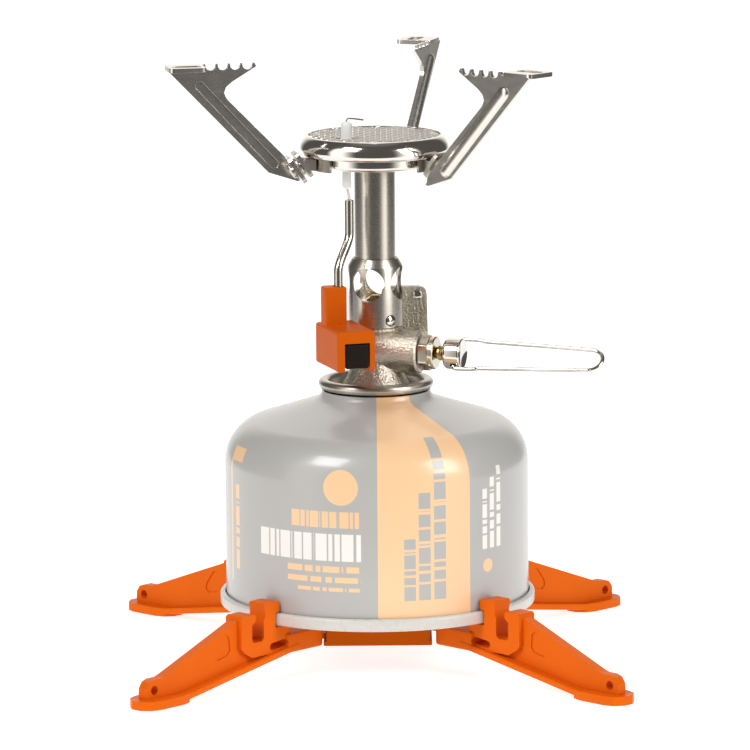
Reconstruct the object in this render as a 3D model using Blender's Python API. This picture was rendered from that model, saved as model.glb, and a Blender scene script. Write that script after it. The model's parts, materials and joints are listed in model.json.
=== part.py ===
"""A canister-top camping stove on its gas canister, held in a folding four-legged stabiliser.

Every size below is in millimetres, and to_metres() turns it into the scene's metres.
The origin is on the ground under the canister's axis: +Z up, -Y towards the igniter's button.
Blocks and profiles are drawn in a piece's own axes and placed with a matrix.
"""

from math import atan2, cos, hypot, pi, radians, sin

import bmesh
import bpy
from mathutils import Matrix, Vector

# ---- driving dimensions (mm) ----
GAP = 0.3                        # clearance left between touching pieces
CAN_RADIUS = 45.0                # standard 100 g canister, 90 mm across
CAN_RIM_BOTTOM = 16.3
CAN_RIM_TOP = 20.0
CAN_SHOULDER_START = 59.0
CAN_WALL = 0.6
CAN_NECK_TOP = 80.3
CUP_RING_RADIUS = 15.45
CUP_RING_THICKNESS = 1.55
CUP_RING_Z = 82.2
POST_RADIUS = 5.5
NECK_RADIUS = 6.1
SLEEVE_RADIUS = 8.05
SLEEVE_BOTTOM = 99.4
SLEEVE_TOP = 117.4
CONE_TOP = 119.6
AIR_HOLE_RADIUS = 4.95
AIR_HOLE_Z = 112.35
TUBE_RADIUS = 6.02
PAN_RADIUS = 18.4
PAN_BOTTOM = 147.1
BAND_RADIUS = 22.1
BAND_BOTTOM = 150.5
PLATE_TOP = 155.9
PLATE_RADIUS = 19.2
INSULATOR_SPOT = (-8.15, -9.7)     # where the electrode comes up through the burner
VALVE_AXIS_Z = 91.9
VALVE_TURN = -19.0               # degrees the valve axis is turned from +X
KNOB_RADIUS = 4.6
HANDLE_PIVOT = 25.2                # distance of the handle's pivot along the valve axis
HANDLE_HALF_WIDTH = 5.55
HANDLE_TILT = 42.0               # slope of the handle loop's plane across the valve axis
WIRE_RADIUS = 0.6
SUPPORT_AZIMUTHS = {"rear": 72.6, "left": 192.0, "right": 317.5}
SUPPORT_SHEET = 1.3
SUPPORT_TOP = 178.0
TOOTH_PITCH = 3.65
TOOTH_COUNT = 5
FIRST_TOOTH = 50.4               # distance of the outermost tooth from the stove's axis
VALLEY_RADIUS = 1.55             # of the round notch between two teeth
FLANGE_LINE = ((26.7, 151.3), (21.1, 143.5))   # (radius, height) of the fold at an arm's foot
RIVET_OFFSET = 3.6               # how far each rivet is from its arm's sheet, along the fold
BOX_YAW = 18.0                   # degrees the igniter box faces to the right of -Y
BOX_LENGTH = 22.0
BOX_HALF_WIDTH = 5.8
BOX_FRONT = 26.2                 # from the stove's axis to the box's front face, along the way it faces
BOX_BOTTOM = 90.1
BOX_TOP = 102.1
BUTTON_LEVEL = 94.7
BOX_REACH = 8.5                  # from the stove's axis to the box's inner side
TOWER_SPOT = (6.5, -2.0)         # middle of the igniter's tower in the box's own axes
ELECTRODE_SPOT = (-10.84, -15.5)  # where the electrode tube leaves the tower
LEG_AZIMUTHS = {"front_left": 227.0, "front_right": 314.9, "back_left": 136.6, "back_right": 45.0}
LEG_TIPS = {"front_left": 102.0, "front_right": 102.0, "back_left": 104.2, "back_right": 104.2}
PAD_RADIUS = 5.4
LEG_WEB = 3.2
LEG_FLANGE_WIDTH = 9.0
RECESS = [(64.9, 15.6), (66.2, 16.6), (67.6, 16.3), (70.6, 12.4), (71.0, 10.6), (69.8, 9.4), (65.8, 10.2), (64.6, 11.6)]
RECESS_DEPTH = 0.35              # of the shallow recess beside a leg's hooks
HOOK_WIDTH = 6.4
HUB_BOTTOM = 7.6
HUB_HALF_X = 16.0
HUB_HALF_Y = 24.6

STEEL = ((0.62, 0.60, 0.57), 0.28, 1.0)
POLISHED = ((0.74, 0.73, 0.71), 0.14, 1.0)
NICKEL = ((0.58, 0.55, 0.49), 0.38, 1.0)
BRASS = ((0.72, 0.55, 0.24), 0.3, 1.0)
ORANGE = ((0.89, 0.13, 0.01), 0.42, 0.0)
BLACK = ((0.015, 0.015, 0.015), 0.4, 0.0)
RUBBER = ((0.02, 0.02, 0.02), 0.8, 0.0)
CERAMIC = ((0.85, 0.85, 0.83), 0.35, 0.0)
CAN_PAINT = ((0.46, 0.45, 0.44), 0.35, 0.0)
CAN_WHITE = ((0.82, 0.80, 0.76), 0.3, 0.0)


# ---- helpers ----

def to_metres(point):
    return Vector(point) * 0.001


def clear_scene():
    for obj in list(bpy.data.objects):
        bpy.data.objects.remove(obj, do_unlink=True)


def material(name, look):
    colour, roughness, metallic = look
    made = bpy.data.materials.new(name)
    made.use_nodes = True
    shader = made.node_tree.nodes["Principled BSDF"]
    shader.inputs["Base Color"].default_value = (*colour, 1.0)
    shader.inputs["Roughness"].default_value = roughness
    shader.inputs["Metallic"].default_value = metallic
    return made


def object_from(name, form, look=None, smooth_under=40.0):
    """Turns a bmesh in millimetres into an object in metres. Without a look, it is a hidden helper."""
    for vert in form.verts:
        vert.co *= 0.001
    bmesh.ops.recalc_face_normals(form, faces=form.faces)
    mesh = bpy.data.meshes.new(name)
    form.to_mesh(mesh)
    form.free()
    mesh.shade_smooth()
    mesh.set_sharp_from_angle(angle=radians(smooth_under))
    obj = bpy.data.objects.new(name, mesh)
    bpy.context.scene.collection.objects.link(obj)
    if look is None:
        obj.hide_render = True
        obj.display_type = "WIRE"
    else:
        mesh.materials.append(material(name, look))
    return obj


def set_origin(obj, point):
    """Moves an object's origin to a point given in millimetres, and leaves its shape where it is."""
    shift = to_metres(point)
    obj.data.transform(Matrix.Translation(-shift))
    obj.location = shift


def boolean(obj, other, operation, solver="EXACT"):
    modifier = obj.modifiers.new(operation.lower(), "BOOLEAN")
    modifier.operation = operation
    modifier.object = other
    modifier.solver = solver


def cut(obj, *cutters):
    for cutter in cutters:
        boolean(obj, cutter, "DIFFERENCE")


def join(obj, *others, solver="EXACT"):
    for other in others:
        boolean(obj, other, "UNION", solver)


def turned(name, outline, look=None, segments=48, place=None):
    """Turns a closed (radius, height) outline about Z. Points on the axis become one vertex."""
    form = bmesh.new()
    rings = []
    for radius, height in outline:
        if radius < 1e-6:
            rings.append([form.verts.new((0, 0, height))])
            continue
        angles = [2 * pi * step / segments for step in range(segments)]
        rings.append([form.verts.new((radius * cos(a), radius * sin(a), height)) for a in angles])
    for first, second in zip(rings, rings[1:] + rings[:1]):
        for step in range(segments):
            after = (step + 1) % segments
            corners = [first[step % len(first)], first[after % len(first)]]
            corners += [second[after % len(second)], second[step % len(second)]]
            corners = list(dict.fromkeys(corners))
            if len(corners) > 2:
                form.faces.new(corners)
    if place:
        form.transform(place)
    return object_from(name, form, look)


def rod(name, radius, low, high, look=None, segments=24, place=None, chamfer=0.0):
    """A solid round bar along Z from low to high, with optional chamfered ends."""
    outline = [(0, low), (radius - chamfer, low), (radius, low + chamfer)]
    outline += [(radius, high - chamfer), (radius - chamfer, high), (0, high)]
    if not chamfer:
        outline = [(0, low), (radius, low), (radius, high), (0, high)]
    return turned(name, outline, look, segments, place)


def prism(name, outline, low, high, look=None, place=None, bevel=0.0):
    """Extrudes a flat outline along Z from low to high, then places it."""
    form = bmesh.new()
    base = [form.verts.new((x, y, low)) for x, y in outline]
    top = [form.verts.new((x, y, high)) for x, y in outline]
    form.faces.new(base[::-1])
    form.faces.new(top)
    for step in range(len(outline)):
        after = (step + 1) % len(outline)
        form.faces.new([base[step], base[after], top[after], top[step]])
    if bevel:
        bmesh.ops.bevel(form, geom=list(form.edges), offset=bevel, segments=2, affect="EDGES",
                        profile=0.5, clamp_overlap=True)
    if place:
        form.transform(place)
    return object_from(name, form, look)


def block(name, low, high, look=None, place=None, bevel=0.0):
    outline = [(low[0], low[1]), (high[0], low[1]), (high[0], high[1]), (low[0], high[1])]
    return prism(name, outline, low[2], high[2], look, place, bevel)


def wire(name, points, radius, look=None, sides=10, closed=False):
    """A round wire through the points, with its sections turned square to the route."""
    form = bmesh.new()
    route = [Vector(p) for p in points]
    count = len(route)
    side = None
    rings = []
    for step, here in enumerate(route):
        before = route[step - 1] if step or closed else here
        after = route[(step + 1) % count] if step + 1 < count or closed else here
        ahead = (after - before).normalized()
        if side is None:
            side = ahead.orthogonal().normalized()
        side = (side - ahead * side.dot(ahead)).normalized()
        across = ahead.cross(side)
        angles = [2 * pi * k / sides for k in range(sides)]
        rings.append([form.verts.new(here + radius * (cos(a) * side + sin(a) * across)) for a in angles])
    pairs = list(zip(rings, rings[1:]))
    if closed:
        pairs.append((rings[-1], rings[0]))
    for first, second in pairs:
        for k in range(sides):
            after = (k + 1) % sides
            form.faces.new([first[k], first[after], second[after], second[k]])
    if not closed:
        form.faces.new(rings[0][::-1])
        form.faces.new(rings[-1])
    return object_from(name, form, look)


def arc(centre, radius, start, end, steps):
    """Points on a flat arc from start to end, in degrees."""
    angles = [radians(start + (end - start) * k / steps) for k in range(steps + 1)]
    return [(centre[0] + radius * cos(a), centre[1] + radius * sin(a)) for a in angles]


def rounded(outline, radius, steps=3):
    """The outline with each corner replaced by an arc of the radius, or less on a short side."""
    made = []
    for step, here in enumerate(outline):
        here = Vector(here)
        before = Vector(outline[step - 1]) - here
        after = Vector(outline[(step + 1) % len(outline)]) - here
        reach = min(radius, before.length * 0.45, after.length * 0.45)
        first = here + before.normalized() * reach
        last = here + after.normalized() * reach
        for k in range(steps + 1):
            t = k / steps
            point = first * (1 - t) ** 2 + here * 2 * t * (1 - t) + last * t ** 2
            made.append((point.x, point.y))
    return made


def slot_outline(start, end, radius, steps=5):
    """A flat obround around the line from start to end."""
    turn = atan2(end[1] - start[1], end[0] - start[0]) * 180 / pi
    return arc(end, radius, turn - 90, turn + 90, steps) + arc(start, radius, turn + 90, turn + 270, steps)


def frame(x_axis, y_axis, z_axis, origin=(0, 0, 0)):
    """The matrix that carries local axes onto the three given directions."""
    made = Matrix((x_axis, y_axis, z_axis)).transposed().to_4x4()
    made.translation = Vector(origin)
    return made


def upright(azimuth):
    """Local X is the radius at the azimuth, local Y is up, and local Z is the clockwise side."""
    turn = radians(azimuth)
    radial = Vector((cos(turn), sin(turn), 0))
    return frame(radial, Vector((0, 0, 1)), Vector((sin(turn), -cos(turn), 0)))


# ---- gas canister ----

def can_outer_profile():
    """The can's outer side from its foot to its neck, as (radius, height)."""
    bend = 13.6
    shoulder = arc((CAN_RADIUS - bend, CAN_SHOULDER_START), bend, 0, 70, 5)
    return [(CAN_RADIUS, CAN_RIM_BOTTOM + 1.6), *shoulder, (18.0, 77.8), (16.4, 78.9), (16.1, CAN_NECK_TOP)]


def offset_inwards(profile, wall):
    """The profile moved towards the axis, square to itself."""
    made = []
    for step, here in enumerate(profile):
        before = profile[max(step - 1, 0)]
        after = profile[min(step + 1, len(profile) - 1)]
        along = Vector((after[0] - before[0], after[1] - before[1])).normalized()
        made.append((here[0] - wall * along.y, here[1] + wall * along.x))
    return made


def make_canister():
    outer = can_outer_profile()
    inner = offset_inwards(outer, CAN_WALL)
    turned("canister_shell", outer + inner[::-1], CAN_PAINT, 36)
    base = [
        (44.0, CAN_RIM_BOTTOM), (46.2, CAN_RIM_BOTTOM), (46.8, 17.0), (46.8, 19.2), (46.4, CAN_RIM_TOP),
        (45.35, CAN_RIM_TOP), (45.35, 17.3), (44.05, 17.3), (44.05, 21.4), (43.4, 21.4), (40.0, 19.3),
        (24.0, 22.4), (0, 23.6), (0, 23.0), (24.0, 21.8), (40.0, 18.6), (42.7, 18.2),
    ]
    turned("canister_base", base, CAN_WHITE, 36)
    ring = arc((CUP_RING_RADIUS, CUP_RING_Z), CUP_RING_THICKNESS, -110, 200, 8)
    cup = [*ring, (13.3, CUP_RING_Z - 1.5), (12.9, 78.6), (12.0, 77.6), (5.85, 77.6), (5.85, 77.0), (12.6, 77.0)]
    cup += [(14.0, 78.0), (14.6, CUP_RING_Z - 1.6)]
    turned("canister_valve_cup", cup, STEEL, 24)
    post = [
        (1.7, 70.0), (7.2, 70.0), (7.2, 76.6), (POST_RADIUS, 76.7), (POST_RADIUS, 86.0), (4.9, 86.6),
        (1.7, 86.6),
    ]
    turned("canister_valve_post", post, STEEL, 28)
    plunger = [(0, 71.0), (1.35, 71.0), (1.35, 84.2), (0, 84.2)]
    turned("canister_valve_plunger", plunger, BRASS, 12)


# ---- valve body and jet ----

def valve_axis():
    turn = radians(VALVE_TURN)
    return Vector((cos(turn), sin(turn), 0))


def along_valve():
    """Local Z is the valve axis pointing to the knob, and local X is up."""
    ahead = valve_axis()
    up = Vector((0, 0, 1))
    return frame(up, ahead.cross(up), ahead, (0, 0, VALVE_AXIS_Z))


def box_front():
    turn = radians(BOX_YAW)
    return Vector((sin(turn), -cos(turn), 0))


def box_side():
    turn = radians(BOX_YAW)
    return Vector((cos(turn), sin(turn), 0))


def make_valve_body():
    outer = [
        (0, 79.6), (9.9, 79.6), (9.9, 82.2), (8.6, 84.0), (7.6, 86.6), (7.2, 88.4), (NECK_RADIUS, 91.0),
        (NECK_RADIUS, 95.2), (6.7, 97.2), (7.6, 98.4), (7.6, 99.1), (6.95, 99.1), (6.95, 104.8), (5.6, 105.4),
        (0, 105.4),
    ]
    body = turned("valve_body", outer, NICKEL, 28)
    valve = along_valve()
    boss = rod("boss_form", 6.4, 1.2, 14.3, None, 24, valve, 0.5)
    fillet = turned("boss_root_form", [(0, 1.6), (7.1, 1.6), (6.7, 5.2), (6.2, 7.0), (0, 7.0)], None, 24, valve)
    lug_outline = rounded([(1.7, 90.0), (15.6, 90.0), (15.2, 109.5), (1.7, 109.5)], 2.6)
    behind = Matrix(((1, 0, 0, 0), (0, 0, -1, 0), (0, 1, 0, 0), (0, 0, 0, 1)))
    lug = prism("lug_form", lug_outline, -11.7, -8.9, None, behind)
    web = prism("web_form", rounded([(2.4, 86.9), (14.2, 87.7), (14.6, 96.6), (2.4, 96.6)], 1.2), -10.4, -1.7,
                None, behind)
    side = box_side()
    tongue_place = frame(box_front(), side, Vector((0, 0, 1)))
    tongue = block("tongue_form", (-2.6, -BOX_REACH - 1.4, 93.2), (2.6, -3.0, 95.6), None, tongue_place)
    pad = block("pad_form", (-3.4, -BOX_REACH + GAP, 91.4), (3.4, -3.0, 97.0), None, tongue_place, 0.5)
    join(body, boss, fillet, web, lug, tongue, pad, solver="MANIFOLD")
    stem_bore = rod("stem_bore", 1.7, 0.4, 9.0, None, 12, valve)
    gland_bore = rod("gland_bore", 3.6, 8.9, 15.0, None, 16, valve)
    socket = rod("socket_bore", 5.85, 79.0, 87.4, None, 28)
    seat = rod("gasket_bore", 4.4, 87.0, 89.6, None, 20)
    gas_way = rod("gas_way", 0.9, 89.0, 102.5, None, 8)
    jet_seat = rod("jet_seat", 3.3, 102.0, 107.0, None, 20)
    pin_place = Matrix.Translation((12.4, 0, 106.9)) @ Matrix.Rotation(pi / 2, 4, "X")
    lug_hole = rod("lug_hole", 1.25, -13.0, -8.0, None, 12, pin_place)
    screw_pocket = rod("screw_pocket", 1.1, 3.8, 9.0, None, 10, screw_place())
    cut(body, socket, seat, gas_way, jet_seat, stem_bore, gland_bore, lug_hole, screw_pocket)
    pin_outline = [(0, -8.0), (1.5, -8.3), (1.5, -8.6), (0.95, -8.6), (0.95, -12.0), (1.6, -12.0), (1.6, -12.6),
                   (0, -12.9)]
    turned("lug_pin", pin_outline, POLISHED, 14, pin_place)
    turned("inlet_gasket", [(2.2, 87.1), (4.1, 87.1), (4.1, 89.2), (2.2, 89.2)], RUBBER, 20)
    turned("inlet_pin", [(0, 84.6), (0.6, 84.6), (0.6, 98.5), (0, 98.5)], BRASS, 12)
    jet = [(0.35, 102.4), (2.9, 102.4), (2.9, 105.6), (2.5, 106.0), (2.5, 107.4), (1.2, 108.4), (0.35, 108.4)]
    turned("gas_jet", jet, BRASS, 14)


def screw_place():
    """Local Z points out of the sleeve, 30 degrees to the right of its front."""
    turn = radians(-90 + 33)
    out = Vector((cos(turn), sin(turn), 0))
    up = Vector((0, 0, 1))
    return frame(up.cross(out), up, out, (0, 0, 101.6))


def make_sleeve_and_tube():
    sleeve_outline = [
        (7.35, SLEEVE_BOTTOM), (SLEEVE_RADIUS, SLEEVE_BOTTOM), (SLEEVE_RADIUS, SLEEVE_TOP), (6.75, CONE_TOP),
        (6.4, CONE_TOP), (7.35, SLEEVE_TOP - 0.4),
    ]
    sleeve = turned("air_sleeve", sleeve_outline, STEEL, 28)
    for name, azimuth in (("air_hole_front_left", -108.0), ("air_hole_right", -18.0)):
        turn = radians(azimuth)
        out = Vector((cos(turn), sin(turn), 0))
        up = Vector((0, 0, 1))
        place = frame(up.cross(out), up, out, (0, 0, AIR_HOLE_Z))
        cut(sleeve, rod(name, AIR_HOLE_RADIUS, -12, 12, None, 32, place))
    cut(sleeve, rod("screw_hole", 1.75, 4, 10, None, 20, screw_place()))
    screw = [(0, 4.2), (0.8, 4.2), (0.8, 7.2), (1.4, 7.3), (1.4, 7.7), (0.8, 8.2), (0, 8.35)]
    turned("sleeve_screw", screw, POLISHED, 20, screw_place())
    tube = [(5.3, 118.2), (TUBE_RADIUS, 118.2), (TUBE_RADIUS, 149.2), (5.3, 149.2)]
    turned("burner_tube", tube, STEEL, 48)


# ---- burner head ----

def plate_holes():
    """Centres of the perforations: rings of holes round a plain middle, clear of the insulator."""
    found = []
    for ring_radius, count in ((5.0, 6), (10.0, 11), (15.6, 17)):
        for step in range(count):
            turn = 2 * pi * (step + 0.5 * (count % 4 == 0)) / count
            spot = (ring_radius * cos(turn), ring_radius * sin(turn))
            if hypot(spot[0] - INSULATOR_SPOT[0], spot[1] - INSULATOR_SPOT[1]) > 3.6:
                found.append(spot)
    return found


def make_burner():
    pan = [
        (TUBE_RADIUS + GAP, PAN_BOTTOM), (17.4, PAN_BOTTOM), (18.1, PAN_BOTTOM + 0.3), (PAN_RADIUS, PAN_BOTTOM + 1.0),
        (PAN_RADIUS, 154.7), (17.7, 154.7), (17.7, PAN_BOTTOM + 1.2), (17.2, PAN_BOTTOM + 0.8),
        (TUBE_RADIUS + GAP, PAN_BOTTOM + 0.8),
    ]
    pan_object = turned("burner_pan", pan, POLISHED, 32)
    insulator_place = Matrix.Translation((*INSULATOR_SPOT, 0))
    cut(pan_object, rod("pan_insulator_hole", 1.65, 140, 152, None, 20, insulator_place))
    band = [
        (18.8, BAND_BOTTOM), (21.2, BAND_BOTTOM), (21.9, 151.3), (BAND_RADIUS, 152.5), (21.9, 153.8), (21.3, 155.0),
        (20.4, 156.0), (19.6, 156.4), (19.55, 155.7), (20.2, 155.1), (20.9, 154.2), (21.25, 153.3),
        (21.3, 152.4), (21.1, 151.7), (20.7, 151.3), (18.8, 151.3),
    ]
    turned("burner_ring", band, POLISHED, 32)
    plate = turned("burner_plate", [(0, 155.15), (PLATE_RADIUS, 155.15), (PLATE_RADIUS, PLATE_TOP), (0, PLATE_TOP)],
                   STEEL, 36)
    holes = bmesh.new()
    for spot in plate_holes():
        bmesh.ops.create_cone(holes, cap_ends=True, segments=6, radius1=0.95, radius2=0.95, depth=4.0,
                              matrix=Matrix.Translation((*spot, 155.5)))
    cut(plate, object_from("plate_perforations", holes))
    cut(plate, rod("plate_insulator_hole", 2.0, 150, 160, None, 20, insulator_place))


# ---- pot supports ----

def flange_directions():
    """Unit vectors along the fold (upwards) and out of it, in the (radius, height) plane."""
    (top_r, top_z), (low_r, low_z) = FLANGE_LINE
    up = Vector((top_r - low_r, top_z - low_z)).normalized()
    return up, Vector((up.y, -up.x))


def support_outline():
    """An arm's side view: toothed top edge, outer edge, knee, foot and inner edge."""
    outline = [(51.6, SUPPORT_TOP - 0.5)]
    for step in range(TOOTH_COUNT):
        peak = FIRST_TOOTH - TOOTH_PITCH * step
        outline += [(peak + 0.25, SUPPORT_TOP + 0.4), (peak - 0.25, SUPPORT_TOP + 0.4)]
        if step + 1 < TOOTH_COUNT:
            outline += arc((peak - TOOTH_PITCH / 2, SUPPORT_TOP), VALLEY_RADIUS, 0, -180, 6)
    outline += [(35.0, SUPPORT_TOP - 0.6), (35.6, 177.0)]
    outline += [(42.4, 172.9), (44.1, 171.4), (44.7, 169.8), (43.9, 168.0)]
    out = flange_directions()[1] * (SUPPORT_SHEET / 2)
    outline += [(r + out.x, z + out.y) for r, z in FLANGE_LINE]
    outline += [(23.0, 143.0), (31.6, 145.8), (32.6, 146.8), (62.0, 177.4), (62.0, SUPPORT_TOP - 0.5)]
    return outline


def make_support(side, azimuth):
    """One arm: a toothed sheet with a pressed bead, a tab folded over at the top and a flange at the foot."""
    name = f"pot_support_{side}"
    place = upright(azimuth)
    inner_side, outer_side = 0.5, 0.5 + SUPPORT_SHEET
    arm = prism(name, support_outline(), inner_side, outer_side, STEEL, place)
    tab_side = outer_side - 0.1
    tab = rounded([(51.4, -9.0), (62.3, -9.0), (62.3, tab_side), (51.4, tab_side)], 1.6)
    flat = place @ Matrix(((1, 0, 0, 0), (0, 0, 1, 0), (0, 1, 0, 0), (0, 0, 0, 1)))
    tab_form = prism(name + "_tab_form", tab, SUPPORT_TOP - 0.9, SUPPORT_TOP + 0.4, None, flat)
    up, out = flange_directions()
    foot = Vector(FLANGE_LINE[1])
    fold_length = (Vector(FLANGE_LINE[0]) - foot).length
    fold_place = place @ frame(Vector((up.x, up.y, 0)), Vector((0, 0, 1)), Vector((out.x, out.y, 0)),
                               (foot.x, foot.y, 0))
    flange = rounded([(0.2, tab_side), (fold_length - 0.2, tab_side), (fold_length - 0.2, -7.6), (0.2, -7.6)], 2.4)
    flange_form = prism(name + "_flange_form", flange, 0.0, SUPPORT_SHEET, None, fold_place)
    bead = slot_outline((29.6, 148.0), (52.2, 172.4), 2.0)
    bead_form = prism(name + "_bead_form", bead, 0.9, outer_side + 0.9, None, place)
    join(arm, tab_form, flange_form, bead_form)
    groove = slot_outline((29.9, 148.3), (51.9, 172.1), 1.35)
    tab_slot = slot_outline((54.2, -4.6), (59.2, -4.6), 1.9)
    rivet_hole_place = fold_place @ Matrix.Translation((fold_length / 2, -RIVET_OFFSET, 0))
    cut(
        arm,
        prism(name + "_groove_cutter", groove, -1.0, 1.5, None, place),
        prism(name + "_slot_cutter", tab_slot, SUPPORT_TOP - 3, SUPPORT_TOP + 3, None, flat),
        rod(name + "_rivet_cutter", 1.6, -3, 4, None, 20, rivet_hole_place),
    )
    set_origin(arm, rivet_hole_place.translation)
    make_support_joint(side, azimuth, fold_place, fold_length, rivet_hole_place)


def make_support_joint(side, azimuth, fold_place, fold_length, rivet_place):
    """The bracket welded to the pan, the wave washer and the rivet on which one arm turns."""
    washer_low, washer_high = -GAP - 0.7, -GAP
    ear_high = washer_low - GAP
    ear_low = ear_high - 1.2
    ear = rounded([(0.6, 1.0), (fold_length - 0.4, 1.0), (fold_length - 0.4, -7.6), (0.6, -7.6)], 2.0)
    bracket = prism(f"support_bracket_{side}", ear, ear_low, ear_high, STEEL, fold_place)
    wing_outline = [(PAN_RADIUS + GAP, 146.6), (19.6, 146.6), (19.6, 150.15), (PAN_RADIUS + GAP, 150.15)]
    wing = sector(f"bracket_wing_{side}", wing_outline, azimuth - 6, azimuth + 36, 12)
    link_outline = [(18.9, 146.9), (21.2, 147.0), (22.6, 149.3), (22.2, 150.1), (18.9, 150.1)]
    link = prism(f"bracket_link_{side}", link_outline, -7.0, 0.2, None, upright(azimuth))
    join(bracket, wing, link)
    cut(bracket, rod(f"bracket_hole_{side}", 1.6, -6.5, 2, None, 20, rivet_place))
    turned(f"support_washer_{side}", [(1.6, washer_low), (3.0, washer_low), (3.0, washer_high), (1.6, washer_high)],
           POLISHED, 24, rivet_place)
    head = SUPPORT_SHEET + GAP
    rivet = [(0, ear_low + 0.1), (1.3, ear_low + 0.1), (1.3, head), (2.3, head), (2.1, head + 0.6), (1.3, head + 0.9),
             (0, head + 0.95)]
    turned(f"support_rivet_{side}", rivet, POLISHED, 20, rivet_place)


def sector(name, outline, start, end, steps):
    """Turns a (radius, height) outline about Z over part of a turn, in degrees, with flat ends."""
    form = bmesh.new()
    rings = []
    for step in range(steps + 1):
        turn = radians(start + (end - start) * step / steps)
        rings.append([form.verts.new((r * cos(turn), r * sin(turn), z)) for r, z in outline])
    count = len(outline)
    for first, second in zip(rings, rings[1:]):
        for k in range(count):
            after = (k + 1) % count
            form.faces.new([first[k], first[after], second[after], second[k]])
    form.faces.new(rings[0][::-1])
    form.faces.new(rings[-1])
    return object_from(name, form)


# ---- gas control ----

def make_control():
    valve = along_valve()
    nut = rounded([(5.6 * cos(radians(60 * k)), 5.6 * sin(radians(60 * k))) for k in range(6)], 0.8, 2)
    gland = prism("gland_nut", nut, 14.65, 17.3, NICKEL, valve)
    face = rod("gland_face_form", 4.9, 17.2, 19.0, None, 24, valve, 0.3)
    insert = rod("gland_insert_form", 3.25, 10.6, 15.0, None, 16, valve)
    join(gland, face, insert)
    cut(gland, rod("gland_bore_cutter", 1.75, 8, 21, None, 12, valve))
    turned("stem_seal", [(1.75, 9.2), (3.3, 9.2), (3.3, 10.3), (1.75, 10.3)], RUBBER, 16, valve)
    needle = [
        (0, 1.4), (0.4, 1.4), (1.35, 4.4), (1.35, 19.3), (2.0, 19.6), (2.3, 20.3), (2.0, 21.0), (1.35, 21.3),
        (1.35, 23.2), (0, 23.2),
    ]
    turned("valve_needle", needle, BRASS, 14, valve)
    knob_outline = [
        (0, 23.6), (1.75, 23.6), (1.75, 21.6), (3.3, 21.6), (4.3, 22.3), (KNOB_RADIUS, 23.0), (KNOB_RADIUS, 26.8),
        (4.3, 27.1), (0, 27.1),
    ]
    knob = turned("control_knob", knob_outline, POLISHED, 28, valve)
    across = handle_frame()
    for sign in (-1, 1):
        place = across @ Matrix.Rotation(pi / 2, 4, "X")
        low, high = sorted((sign * 1.6, sign * 6.0))
        cut(knob, rod(f"knob_hole_{sign}", 1.0, low, high, None, 16, place))


def handle_frame():
    """Local X runs out along the handle, local Y across the loop, and the origin is on the pivot."""
    ahead = valve_axis()
    up = Vector((0, 0, 1))
    side = ahead.cross(up)
    tilt = radians(HANDLE_TILT)
    across = up * sin(tilt) - side * cos(tilt)
    return frame(ahead, across, ahead.cross(across), ahead * HANDLE_PIVOT + Vector((0, 0, VALVE_AXIS_Z)))


def make_handle():
    """A wire loop whose two ends turn inwards into the knob."""
    half = HANDLE_HALF_WIDTH
    tip = 44.3
    tip_half = 3.7
    bend = 0.9
    run = [(0, 2.6), (0, half - bend)]
    run += arc((bend, half - bend), bend, 180, 90, 3)[1:]
    run += [(5.6, half), (8.4, half - 0.5), (tip - 3.4, tip_half + 0.1)]
    run += arc((tip - 3.2, 0), tip_half, 80, 0, 5)
    points = run + [(x, -y) for x, y in run[-2::-1]]
    place = handle_frame()
    handle = wire("wire_handle", [place @ Vector((x, y, 0)) for x, y in points], WIRE_RADIUS, STEEL, 8)
    set_origin(handle, place.translation)


# ---- igniter ----

def box_frame():
    """Local X runs to the button's face from the box's back, local Y to the box's inner side, Z is up."""
    front, side = box_front(), box_side()
    corner = front * BOX_FRONT - side * (BOX_REACH + BOX_HALF_WIDTH)
    return frame(front, side, Vector((0, 0, 1)), corner - front * BOX_LENGTH)


def make_igniter():
    place = box_frame()
    shell = block("igniter_housing", (0, -BOX_HALF_WIDTH, BOX_BOTTOM), (BOX_LENGTH, BOX_HALF_WIDTH, BOX_TOP),
                  ORANGE, place, 0.8)
    tower_x, tower_y = TOWER_SPOT
    tower = block("tower_form", (tower_x - 2.7, tower_y - 3.3, BOX_TOP - 1.5), (tower_x + 2.7, tower_y + 3.3, 113.4),
                  None, place, 0.6)
    join(shell, tower)
    bay = block("bay_cutter", (1.5, -3.6, BOX_BOTTOM - 2), (BOX_LENGTH + 2, 4.0, 98.5), None, place)
    corner = place.translation
    tongue_x = -(box_front().dot(corner))
    slot = block("tongue_slot_cutter", (tongue_x - 2.95, 3.5, 92.85), (tongue_x + 2.95, 7.5, 95.95), None, place)
    lead_hole = rod("lead_hole", 1.65, 95, 116, None, 20, Matrix.Translation((*ELECTRODE_SPOT, 0)))
    cut(shell, bay, slot, lead_hole)
    core = block("piezo_core", (2.4, -3.3, 91.2), (12.3, 3.1, 98.1), BLACK, place, 0.4)
    rod_place = place @ Matrix.Translation((0, 0.2, BUTTON_LEVEL)) @ Matrix.Rotation(pi / 2, 4, "Y")
    cut(core, rod("core_bore", 1.7, 7.7, 13.1, None, 20, rod_place))
    button = block("igniter_button", (15.6, -3.3, 91.1), (BOX_LENGTH + 0.3, 3.7, 98.2), BLACK, place, 0.5)
    join(button, rod("plunger_form", 1.35, 11.3, 16.1, None, 20, rod_place))
    set_origin(button, place @ Vector((BOX_LENGTH, 0.2, BUTTON_LEVEL)))
    make_electrode()


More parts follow.
